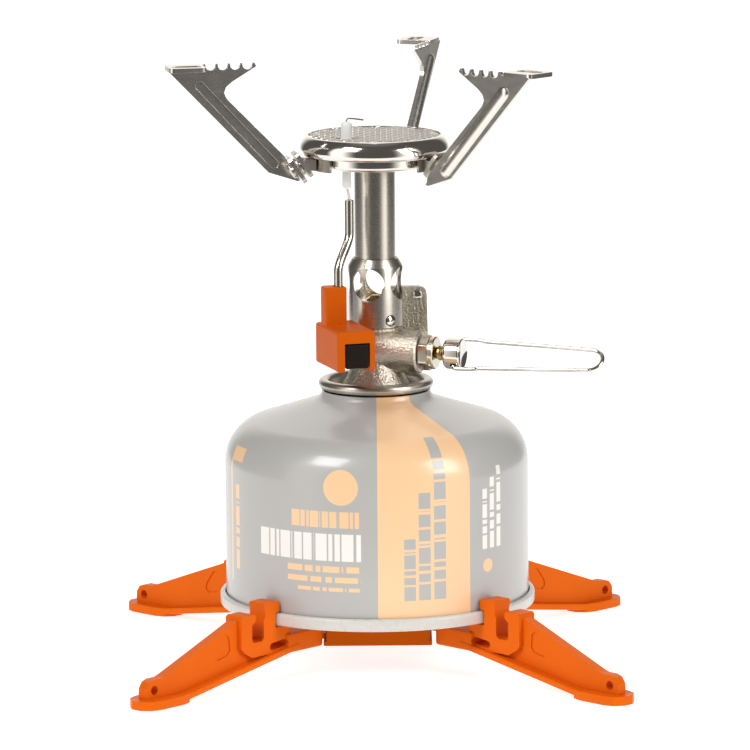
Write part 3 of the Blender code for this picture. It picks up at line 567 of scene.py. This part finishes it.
def perforated_plate_tree():
    """A round plate with staggered holes, each with a raised rim, clear of one round spot."""
    tree = bpy.data.node_groups.new("Perforated plate", "GeometryNodeTree")
    face = tree.interface
    face.new_socket("Geometry", in_out="INPUT", socket_type="NodeSocketGeometry")
    for name in ("Radius", "Bottom", "Top", "Pitch", "Hole radius", "Rim", "Clear radius"):
        face.new_socket(name, in_out="INPUT", socket_type="NodeSocketFloat")
    face.new_socket("Clear spot", in_out="INPUT", socket_type="NodeSocketVector")
    face.new_socket("Finish", in_out="INPUT", socket_type="NodeSocketMaterial")
    face.new_socket("Geometry", in_out="OUTPUT", socket_type="NodeSocketGeometry")
    nodes = tree.nodes
    given = nodes.new("NodeGroupInput").outputs
    result = nodes.new("NodeGroupOutput")

    def plug(source, target):
        if isinstance(source, (int, float, tuple)):
            target.default_value = source
        else:
            tree.links.new(source, target)

    def maths(operation, first, second=0.0):
        node = nodes.new("ShaderNodeMath")
        node.operation = operation
        plug(first, node.inputs[0])
        plug(second, node.inputs[1])
        return node.outputs[0]

    def vector(x, y, z):
        node = nodes.new("ShaderNodeCombineXYZ")
        for value, socket in zip((x, y, z), node.inputs):
            plug(value, socket)
        return node.outputs[0]

    def make(kind, **sockets):
        node = nodes.new(kind)
        for name, value in sockets.items():
            plug(value, node.inputs[name.replace("_", " ")])
        return node

    def distance(first, second):
        node = nodes.new("ShaderNodeVectorMath")
        node.operation = "DISTANCE"
        plug(first, node.inputs[0])
        plug(second, node.inputs[1])
        return node.outputs["Value"]

    row_share = 0.866   # rows of an even triangle pattern stand this share of the pitch apart
    width = maths("MULTIPLY", given["Radius"], 2.0)
    count = maths("ADD", maths("FLOOR", maths("DIVIDE", width, given["Pitch"])), 3.0)
    rows = maths("ADD", maths("FLOOR", maths("DIVIDE", count, row_share)), 2.0)
    row_pitch = maths("MULTIPLY", given["Pitch"], row_share)
    grid = make("GeometryNodeMeshGrid", Vertices_X=count, Vertices_Y=rows,
                Size_X=maths("MULTIPLY", maths("SUBTRACT", count, 1.0), given["Pitch"]),
                Size_Y=maths("MULTIPLY", maths("SUBTRACT", rows, 1.0), row_pitch))
    index = nodes.new("GeometryNodeInputIndex").outputs[0]
    row = maths("MODULO", index, rows)
    odd = maths("MODULO", row, 2.0)
    aside = vector(maths("MULTIPLY", odd, maths("MULTIPLY", given["Pitch"], 0.5)), 0.0, 0.0)
    spots = make("GeometryNodeSetPosition", Geometry=grid.outputs["Mesh"], Offset=aside)
    place = nodes.new("GeometryNodeInputPosition").outputs[0]
    inside = maths("LESS_THAN", distance(place, (0.0, 0.0, 0.0)),
                   maths("SUBTRACT", given["Radius"], given["Hole radius"]))
    clear = maths("GREATER_THAN", distance(place, given["Clear spot"]), given["Clear radius"])
    keep = maths("MULTIPLY", inside, clear)
    points = make("GeometryNodeMeshToPoints", Mesh=spots.outputs["Geometry"], Selection=keep, Radius=0.0001)

    thick = maths("SUBTRACT", given["Top"], given["Bottom"])
    middle = maths("MULTIPLY", maths("ADD", given["Top"], given["Bottom"]), 0.5)
    plate = make("GeometryNodeMeshCylinder", Vertices=128, Radius=given["Radius"], Depth=thick)
    plate_up = make("GeometryNodeTransform", Geometry=plate.outputs["Mesh"],
                    Translation=vector(0.0, 0.0, middle))
    punch = make("GeometryNodeMeshCylinder", Vertices=12, Radius=given["Hole radius"],
                 Depth=maths("MULTIPLY", thick, 3.0))
    punches = make("GeometryNodeInstanceOnPoints", Points=points.outputs["Points"],
                   Instance=punch.outputs["Mesh"])
    punches_up = make("GeometryNodeTransform", Geometry=punches.outputs["Instances"],
                      Translation=vector(0.0, 0.0, middle))
    loose = make("GeometryNodeRealizeInstances", Geometry=punches_up.outputs["Geometry"])
    holed = nodes.new("GeometryNodeMeshBoolean")
    holed.operation = "DIFFERENCE"
    holed.solver = "EXACT"
    tree.links.new(plate_up.outputs["Geometry"], holed.inputs["Mesh 1"])
    tree.links.new(loose.outputs["Geometry"], holed.inputs["Mesh 2"])

    loop = make("GeometryNodeCurvePrimitiveCircle", Resolution=14,
                Radius=maths("ADD", given["Hole radius"], given["Rim"]))
    bead = make("GeometryNodeCurvePrimitiveCircle", Resolution=6, Radius=given["Rim"])
    rim = make("GeometryNodeCurveToMesh", Curve=loop.outputs["Curve"], Profile_Curve=bead.outputs["Curve"])
    rims = make("GeometryNodeInstanceOnPoints", Points=points.outputs["Points"], Instance=rim.outputs["Mesh"])
    rims_up = make("GeometryNodeTransform", Geometry=rims.outputs["Instances"],
                   Translation=vector(0.0, 0.0, given["Top"]))
    smooth = make("GeometryNodeSetShadeSmooth", Geometry=rims_up.outputs["Geometry"])
    both = nodes.new("GeometryNodeJoinGeometry")
    tree.links.new(smooth.outputs["Geometry"], both.inputs["Geometry"])
    tree.links.new(holed.outputs["Mesh"], both.inputs["Geometry"])
    whole = make("GeometryNodeRealizeInstances", Geometry=both.outputs["Geometry"])
    dressed = make("GeometryNodeSetMaterial", Geometry=whole.outputs["Geometry"], Material=given["Finish"])
    tree.links.new(dressed.outputs["Geometry"], result.inputs["Geometry"])
    return tree


def grown(name, tree, finish, **values):
    """Runs a geometry tree once and returns its result as a plain piece."""
    piece = bpy.data.objects.new(name, bpy.data.meshes.new(name))
    bpy.context.scene.collection.objects.link(piece)
    modifier = piece.modifiers.new("shape", "NODES")
    modifier.node_group = tree
    values["Finish"] = finish
    for item in tree.interface.items_tree:
        if item.in_out == "INPUT" and item.name in values:
            modifier[item.identifier] = values[item.name]
    bpy.context.view_layer.update()
    return applied(piece)


class STOVE_OT_burner(bpy.types.Operator):
    """Builds the burner's pan, rolled ring and perforated plate"""
    bl_idname = "stove.burner"
    bl_label = "Burner"

    def execute(self, context):
        sizes = context.scene.stove_burner
        metal = context.scene.stove_metal
        bright = polished_steel("burner_polish", tuple(metal.bright), 0.1)
        ring_low = bottom("burner_ring") / MM
        ring_reach = reach("burner_ring") / MM
        outside = [(18.8, 0), (20.9, 0), (21.4, 0.2), (21.8, 0.7), (ring_reach - 0.05, 1.4),
                   (ring_reach, 2.0), (ring_reach - 0.05, 2.7), (21.8, 3.5), (21.4, 4.2), (20.9, 4.9),
                   (20.3, 5.5), (19.8, 5.8)]
        inside = [(19.5, 5.75), (19.45, 5.2), (20.1, 4.6), (20.8, 3.7), (21.2, 2.8), (21.25, 1.9),
                  (21.0, 1.2), (20.6, 0.8), (18.8, 0.8)]
        band = [(radius, ring_low + height) for radius, height in outside + inside]
        ring = turned("burner_rolled_ring", band, bright, 144, smooth_under=50.0)
        stand_for(ring, "burner_ring")

        pan_low, pan_reach = bottom("burner_pan") / MM, reach("burner_pan") / MM
        tube = reach("burner_tube") / MM
        bowl = [(tube + 0.3, pan_low), (16.6, pan_low)]
        bowl += arc((pan_reach - 1.5, pan_low + 1.5), 1.5, -80, 0, 8)
        bowl += [(pan_reach, top("burner_pan") / MM), (pan_reach - 0.7, top("burner_pan") / MM)]
        bowl += [(pan_reach - 0.7, pan_low + 1.6), (pan_reach - 1.2, pan_low + 1.0), (16.4, pan_low + 0.8),
                 (tube + 0.3, pan_low + 0.8)]
        # Painted shade: the bowl is near black underneath and inside, where it lies under the plate, with some
        # soot.
        bowl_steel = sooty_shaded_steel("bowl_steel", tuple(metal.bright), 0.14, bottom("burner_pan") + 0.5 * MM,
                                 reach("burner_pan") - 0.4 * MM)
        pan = turned("burner_bowl", bowl, bowl_steel, 128)
        spot = above_middle("electrode_insulator_lower")
        cut(pan, turned("bowl_hole", [(0, 140), (1.6, 140), (1.6, 153), (0, 153)], bright, 32, spot))
        stand_for(pan, "burner_pan")

        # Painted shade: all but the plate's top is near black, so its underside and hole walls read as shade, with
        # some soot.
        finish = sooty_shaded_steel("plate_steel", shade(tuple(metal.bright), 0.95), 0.3,
                             top("burner_plate") - 0.1 * MM)
        plate = grown("burner_perforated_plate", perforated_plate_tree(), finish,
                      **{"Radius": reach("burner_plate"), "Bottom": bottom("burner_plate"),
                         "Top": top("burner_plate"), "Pitch": sizes.pitch, "Hole radius": sizes.hole_radius,
                         "Rim": sizes.rim_height, "Clear radius": 0.003, "Clear spot": spot.translation})
        stand_for(plate, "burner_plate")
        return {"FINISHED"}


# ---- pot supports ----

def round_bead(form, across):
    """Rounds off the long bead, which stands farthest out of the sheet along the given direction."""
    half_width, height, edge_height, steps = 2.0 * MM, 0.9 * MM, 0.08 * MM, 5
    level_within, inset_share = 0.05 * MM, 0.9
    farthest = max(v.co.dot(across) for v in form.verts)
    face = next(f for f in form.faces if all(farthest - v.co.dot(across) < level_within for v in f.verts))
    inset = half_width * inset_share / steps
    for step in range(steps + 1):
        away = (half_width - inset * step) / half_width
        rise = edge_height + (height - edge_height) * (1 - away ** 2) ** 0.5
        ring = list(face.verts)
        if step < steps:
            bmesh.ops.inset_individual(form, faces=[face], thickness=inset, use_even_offset=True)
        for vertex in ring:
            vertex.co -= across * (height - rise)


class STOVE_OT_supports(bpy.types.Operator):
    """Finishes the three folding pot supports with their brackets, washers and rivets"""
    bl_idname = "stove.supports"
    bl_label = "Pot supports"

    def execute(self, context):
        metal = context.scene.stove_metal
        sheet = polished_steel("support_polish", tuple(metal.bright), 0.24)
        bracket = brushed_steel("bracket_steel", tuple(metal.steel), 0.3, (1, 1, 6))
        for side in ("rear", "left", "right"):
            joint = JOINTS[f"support_fold_{side}"]
            across = UP.cross(Vector((joint["axis"][0], joint["axis"][1], 0)).normalized())
            eased(f"pot_support_{side}", sheet, metal.edge, reshape=lambda form: round_bead(form, across))
            eased(f"support_bracket_{side}", bracket, metal.edge)
            for node in (f"support_washer_{side}", f"support_rivet_{side}"):
                eased(node, bracket, metal.small_edge, 2)
        return {"FINISHED"}


# ---- the mixing tube ----

class STOVE_OT_mixing_tube(bpy.types.Operator):
    """Builds the tube below the burner, the sleeve with its air holes and its screw"""
    bl_idname = "stove.mixing_tube"
    bl_label = "Mixing tube"

    def execute(self, context):
        metal = context.scene.stove_metal
        steel = brushed_steel("tube_steel", tuple(metal.steel), 0.27)
        radius = reach("burner_tube") / MM
        low, high = bottom("burner_tube") / MM, top("burner_tube") / MM
        tube = turned("burner_stem", [(5.3, low), (radius, low), (radius, high), (5.3, high)], steel, 128)
        stand_for(tube, "burner_tube")
        side = reach("air_sleeve") / MM
        low, high = bottom("air_sleeve") / MM, top("air_sleeve") / MM
        fold, bore = high - 2.2, 7.35
        outline = [(bore, low), (side - 0.15, low), (side, low + 0.15), (side, fold - 0.15),
                   (side - 0.1, fold + 0.1), (6.75, high), (6.4, high), (bore, fold - 0.4)]
        sleeve = turned("air_sleeve_shell", outline, steel, 160)
        hole_level, hole_radius, through = 112.35, 4.95, 12
        hole = [(0, -through), (hole_radius, -through), (hole_radius, through), (0, through)]
        cutters = []
        for azimuth in (-108.0, -18.0):
            out = Vector((cos(radians(azimuth)), sin(radians(azimuth)), 0))
            cutters.append(turned("air_hole", hole, steel, 64, facing(out, (0, 0, hole_level * MM))))
        screw_at = middle_of("sleeve_screw")
        screw_place = facing(Vector((screw_at.x, screw_at.y, 0)).normalized(), (0, 0, screw_at.z))
        cutters.append(turned("screw_hole", [(0, 4), (1.75, 4), (1.75, 10), (0, 10)], steel, 32, screw_place))
        cut(sleeve, *cutters)
        stand_for(sleeve, "air_sleeve")
        chrome = polished_steel("screw_polish", tuple(metal.bright), 0.12)
        head = [(0, 4.2), (0.8, 4.2), (0.8, 7.2), (1.5, 7.3), (1.5, 7.6), (1.35, 8.0), (0.9, 8.25),
                (0.5, 8.33), (0.45, 7.9), (0, 7.9)]
        screw = turned("sleeve_screw_head", head, chrome, 40, screw_place)
        stand_for(screw, "sleeve_screw")
        return {"FINISHED"}


# ---- the valve ----

class STOVE_OT_valve(bpy.types.Operator):
    """Finishes the cast valve body, the gland nut, the knob and the wire handle"""
    bl_idname = "stove.valve"
    bl_label = "Valve"

    def execute(self, context):
        metal = context.scene.stove_metal
        bright = polished_steel("knob_plate", tuple(metal.bright), 0.07)
        cast = cast_nickel("cast_plate", tuple(metal.nickel), 0.34)
        eased("valve_body", cast, 0.4 * MM)
        eased("gland_nut", polished_steel("nut_plate", shade(tuple(metal.nickel), 1.05), 0.16), 0.15 * MM, 2)
        eased("lug_pin", bright, 0.1 * MM, 2)
        ahead = Vector(JOINTS["valve_turn"]["axis"]).normalized()
        outline = [(0, 23.6), (1.75, 23.6), (1.75, 21.6), (3.1, 21.6), *arc((3.3, 23.0), 1.3, -75, 0, 6)]
        outline += [(4.6, 26.5), *arc((4.2, 26.7), 0.4, 0, 90, 4), (3.9, 26.9), (0, 26.9)]
        knob = turned("control_knob_cup", outline, bright, 72, facing(ahead, JOINTS["valve_turn"]["pos_m"]))
        handle_joint = JOINTS["handle_fold"]
        across = -Vector(handle_joint["axis"]).normalized()
        pivot = Vector(handle_joint["pos_m"])
        holes = []
        for way in (-across, across):
            side = way.orthogonal().normalized()
            place = frame_of(side, way.cross(side), way, pivot)
            holes.append(turned("knob_hole", [(0, 1.6), (1.0, 1.6), (1.0, 6), (0, 6)], bright, 24, place))
        cut(knob, *holes)
        stand_for(knob, "control_knob")
        half, tip, tip_half, bend, wire_radius = 5.55, 44.3, 3.7, 1.0, 0.6
        run = [(0, 2.6), (0, half - bend), *arc((bend, half - bend), bend, 180, 90, 6)[1:]]
        run += [(3.5, half), (5.6, half), (7.0, half - 0.25), (8.4, half - 0.5), (16.0, half - 0.8),
                (28.0, half - 1.2), (tip - 3.4, tip_half + 0.1)]
        run += arc((tip - 3.2, 0), tip_half, 80, 0, 8)
        points = run + [(x, -y) for x, y in run[-2::-1]]
        route = smooth_route([pivot + (ahead * x + across * y) * MM for x, y in points], 4)
        wire_steel = polished_steel("wire_polish", tuple(metal.bright), 0.07)
        wire = swept("wire_handle_loop", route, wire_radius * MM, wire_steel)
        stand_for(wire, "wire_handle")
        return {"FINISHED"}


# ---- the igniter ----

class STOVE_OT_igniter(bpy.types.Operator):
    """Finishes the igniter's housing, button, electrode tube and spark electrode"""
    bl_idname = "stove.igniter"
    bl_label = "Igniter"

    def execute(self, context):
        metal = context.scene.stove_metal
        plastic = context.scene.stove_plastic
        # Painted shade: the housing takes a darker copy of the moulded orange, for its front that faces the dark
        # room.
        orange = moulded_plastic("igniter_orange_painted_shade", shade(tuple(plastic.orange), 0.78), 0.42)
        eased("igniter_housing", orange, 0.45 * MM, 4)
        eased("igniter_button", moulded_plastic("button_black", tuple(plastic.black), 0.32), 0.35 * MM, 4)
        ceramic = plain_finish("ceramic_white", (0.86, 0.86, 0.84), 0.38, grain=900.0, bump=0.1)
        steel = polished_steel("electrode_steel", tuple(metal.steel), 0.22)
        start, end = Vector((-10.84, -15.5, 0)), Vector((-7.5, -9.7, 0))
        tube_low, tube_high, bend_low, bend_rise, steps = 99.0, 138.0, 117.4, 11.0, 100
        route = []
        for k in range(steps + 1):
            z = tube_low + (tube_high - tube_low) * k / steps
            share = min(max((z - bend_low) / bend_rise, 0.0), 1.0)
            share = share * share * (3 - 2 * share)
            route.append((start.lerp(end, share) + Vector((0, 0, z))) * MM)
        tube = swept("electrode_tube_bent", route, 1.3 * MM, steel, 28)
        stand_for(tube, "electrode_tube")
        bends = [(-7.5, -9.7, 136.0), (-7.5, -9.7, 138.4), (-7.7, -9.7, 139.8), (-8.0, -9.7, 141.2)]
        lead_route = smooth_route([Vector(bend) * MM for bend in bends], 6)
        lead_white = plain_finish("lead_white", (0.7, 0.69, 0.67), 0.4)
        lead = swept("electrode_lead_wire", lead_route, 0.42 * MM, lead_white, 14)
        stand_for(lead, "electrode_lead")
        spot = above_middle("electrode_insulator")
        upper = [(0.4, 154.4), (1.55, 154.4), (1.65, 155.0), (1.65, 158.8)]
        upper += [*arc((0.85, 160.2), 0.8, 10, 80, 6), (0.4, 161.3)]
        stand_for(turned("electrode_cap", upper, ceramic, 40, spot), "electrode_insulator")
        lower = [(0, 141.6), (1.0, 141.6), (1.3, 141.95), (1.3, 154.0), (0, 154.0)]
        stand_for(turned("electrode_sleeve", lower, ceramic, 40, spot), "electrode_insulator_lower")
        x, y = spot.translation.x / MM, spot.translation.y / MM
        tip = [(x, y, 156.0), (x, y, 160.6), (x + 0.05, y, 161.6), (x + 0.5, y, 162.1),
               (x + 2.4, y + 0.2, 162.0), (x + 5.0, y + 0.5, 161.6)]
        wire_route = smooth_route([Vector(point) * MM for point in tip], 5)
        wire = swept("electrode_spark_wire", wire_route, 0.24 * MM, steel, 12)
        stand_for(wire, "electrode_wire")
        return {"FINISHED"}


# ---- the stabilizer ----

class STOVE_OT_stabilizer(bpy.types.Operator):
    """Finishes the two crossed beams, the hub they fold in and its pin"""
    bl_idname = "stove.stabilizer"
    bl_label = "Stabilizer"

    def execute(self, context):
        plastic = context.scene.stove_plastic
        orange = moulded_plastic("stand_orange", tuple(plastic.orange), 0.36)
        for node in ("stabilizer_beam_lower", "stabilizer_beam_upper"):
            eased(node, orange, plastic.edge / 2)
        # Painted shade: the hub takes a darker copy of the moulded orange, for the shadow under the canister.
        hub_orange_painted_shade = moulded_plastic("hub_orange_painted_shade", shade(tuple(plastic.orange), 0.68), 0.4)
        eased("stabilizer_hub", hub_orange_painted_shade, plastic.edge)
        steel = brushed_steel("pin_steel", tuple(context.scene.stove_metal.steel), 0.3)
        eased("stabilizer_pin", steel, 0.15 * MM, 2)
        return {"FINISHED"}


# ---- inner pieces that stay as they are ----

class STOVE_OT_inner_pieces(bpy.types.Operator):
    """Gives the enclosed pieces their own finishes"""
    bl_idname = "stove.inner_pieces"
    bl_label = "Inner pieces"

    def execute(self, context):
        metal = context.scene.stove_metal
        steel = brushed_steel("post_steel", tuple(metal.steel), 0.3)
        brass = plain_finish("turned_brass", (0.72, 0.52, 0.22), 0.28, 1.0)
        rubber = plain_finish("seal_rubber", (0.02, 0.02, 0.02), 0.75)
        black = moulded_plastic("core_black", (0.02, 0.02, 0.02), 0.5)
        finishes = {"canister_valve_post": steel, "canister_valve_plunger": brass, "inlet_gasket": rubber,
                    "inlet_pin": brass, "gas_jet": brass, "stem_seal": rubber, "valve_needle": brass,
                    "piezo_core": black}
        for node, finish in finishes.items():
            for slot in frame["nodes"][node].material_slots:
                slot.material = finish
        return {"FINISHED"}


# ---- the stage ----

def area_light(name, spot, aim, size, power, colour=(1, 1, 1)):
    light = bpy.data.lights.new(name, "AREA")
    light.shape = "RECTANGLE"
    light.size, light.size_y = size
    light.energy = power
    light.color = colour
    lamp = bpy.data.objects.new(name, light)
    lamp.location = spot
    lamp.rotation_euler = (Vector(aim) - Vector(spot)).to_track_quat("-Z", "Y").to_euler()
    bpy.context.scene.collection.objects.link(lamp)
    return lamp


def studio_world():
    """A dim room with a tall soft light to each side of the camera and a white wall behind the object.

    Angles are in degrees round the room, away from the camera's side, and the same to the left and right.
    """
    world = bpy.data.worlds.new("studio")
    world.use_nodes = True
    tree = world.node_tree
    way = tree.nodes.new("ShaderNodeSeparateXYZ")
    tree.links.new(tree.nodes.new("ShaderNodeTexCoord").outputs["Generated"], way.inputs[0])

    def maths(operation, first, second=0.0):
        node = tree.nodes.new("ShaderNodeMath")
        node.operation = operation
        for socket, value in zip(node.inputs, (first, second)):
            if isinstance(value, (int, float)):
                socket.default_value = value
            else:
                tree.links.new(value, socket)
        return node.outputs[0]

    def rise(value, low, high):
        """Goes smoothly from 0 at low to 1 at high."""
        node = tree.nodes.new("ShaderNodeMapRange")
        node.interpolation_type = "SMOOTHSTEP"
        tree.links.new(value, node.inputs["Value"])
        node.inputs["From Min"].default_value = low
        node.inputs["From Max"].default_value = high
        return node.outputs["Result"]

    x, y, z = way.outputs
    round_about = maths("DEGREES", maths("ARCTAN2", maths("ABSOLUTE", x), maths("MULTIPLY", y, -1.0)))
    past_strip = rise(round_about, 66.0, 78.0)
    strip = maths("MULTIPLY", rise(round_about, 28.0, 60.0), maths("SUBTRACT", 1.0, past_strip))
    low_part = maths("SUBTRACT", 1.0, rise(z, 0.55, 0.75))
    strips = maths("MULTIPLY", maths("MULTIPLY", strip, low_part), SIDE_LIGHT)
    wall = maths("MULTIPLY", rise(round_about, 140.0, 165.0), BACK_WALL)
    ceiling = maths("MULTIPLY", rise(z, 0.9, 0.97), CEILING)
    light = maths("ADD", maths("ADD", strips, maths("MAXIMUM", wall, ceiling)), ROOM)
    background = tree.nodes["Background"]
    background.inputs["Color"].default_value = (1.0, 0.965, 0.91, 1)
    tree.links.new(light, background.inputs["Strength"])
    return world


class STOVE_OT_stage(bpy.types.Operator):
    """Sets the pale floor, the soft lights and the camera"""
    bl_idname = "stove.stage"
    bl_label = "Stage"

    def execute(self, context):
        half_width, half_depth, floor_ahead, floor_level = 0.5, 1.0, 0.75, -0.2 * MM
        form = bmesh.new()
        bmesh.ops.create_grid(form, x_segments=1, y_segments=1, size=1.0)
        form.transform(Matrix.Translation((0, floor_ahead, floor_level))
                       @ Matrix.Diagonal((half_width, half_depth, 1.0, 1.0)))
        white = Finish("floor_white", (0.55, 0.55, 0.55), 0.8)
        white.relief(white.noise(30.0), 0.01, 0.001)
        white.set(Emission_Color=(1, 1, 1, 1), Emission_Strength=0.8)
        floor = piece_from(form, "floor", white.material)
        context.scene.world = studio_world()
        context.scene.view_settings.view_transform = "Standard"
        area_light("key", (-0.8, -0.8, 1.2), (0, 0, 0.08), (0.6, 0.6), 13.0)
        area_light("fill", (1.0, -0.7, 0.7), (0, 0, 0.1), (0.5, 0.8), 8.0)
        lens, spot, pitch, yaw, roll = 286.7, (0.00092, -1.7454, 0.37625), 90 - 9.494, 0.04, -0.42
        camera_data = bpy.data.cameras.new("camera")
        camera_data.sensor_width = 36.0
        camera_data.lens = lens
        camera_data.clip_end = 50.0
        camera = bpy.data.objects.new("camera", camera_data)
        aim = Matrix.Rotation(radians(yaw), 4, "Z") @ Matrix.Rotation(radians(pitch), 4, "X")
        camera.matrix_world = Matrix.Translation(spot) @ aim @ Matrix.Rotation(radians(roll), 4, "Z")
        context.scene.collection.objects.link(camera)
        context.scene.camera = camera
        return {"FINISHED"}


# ---- panel and registration ----

OPERATORS = (STOVE_OT_stage, STOVE_OT_canister, STOVE_OT_burner, STOVE_OT_supports, STOVE_OT_mixing_tube,
             STOVE_OT_valve, STOVE_OT_igniter, STOVE_OT_stabilizer, STOVE_OT_inner_pieces)


class STOVE_PT_panel(bpy.types.Panel):
    """Lists the stove's settings and the steps that build it"""
    bl_idname = "STOVE_PT_panel"
    bl_label = "Camping stove"
    bl_space_type = "VIEW_3D"
    bl_region_type = "UI"
    bl_category = "Stove"

    def draw(self, context):
        for title, settings in SETTINGS.items():
            group = getattr(context.scene, title)
            for name in settings.__annotations__:
                self.layout.prop(group, name)
        for operator in OPERATORS:
            self.layout.operator(operator.bl_idname)


SETTINGS = {"stove_canister": CanisterSettings, "stove_burner": BurnerSettings, "stove_metal": MetalSettings,
            "stove_plastic": PlasticSettings}


def register():
    for each in (*SETTINGS.values(), *OPERATORS, STOVE_PT_panel):
        bpy.utils.register_class(each)
    for name, settings in SETTINGS.items():
        setattr(bpy.types.Scene, name, PointerProperty(type=settings))


def unregister():
    for name in SETTINGS:
        delattr(bpy.types.Scene, name)
    for each in reversed((*SETTINGS.values(), *OPERATORS, STOVE_PT_panel)):
        bpy.utils.unregister_class(each)


def main():
    register()
    for operator in OPERATORS:
        group, name = operator.bl_idname.split(".")
        getattr(getattr(bpy.ops, group), name)()


if __name__ == "__main__":
    main()
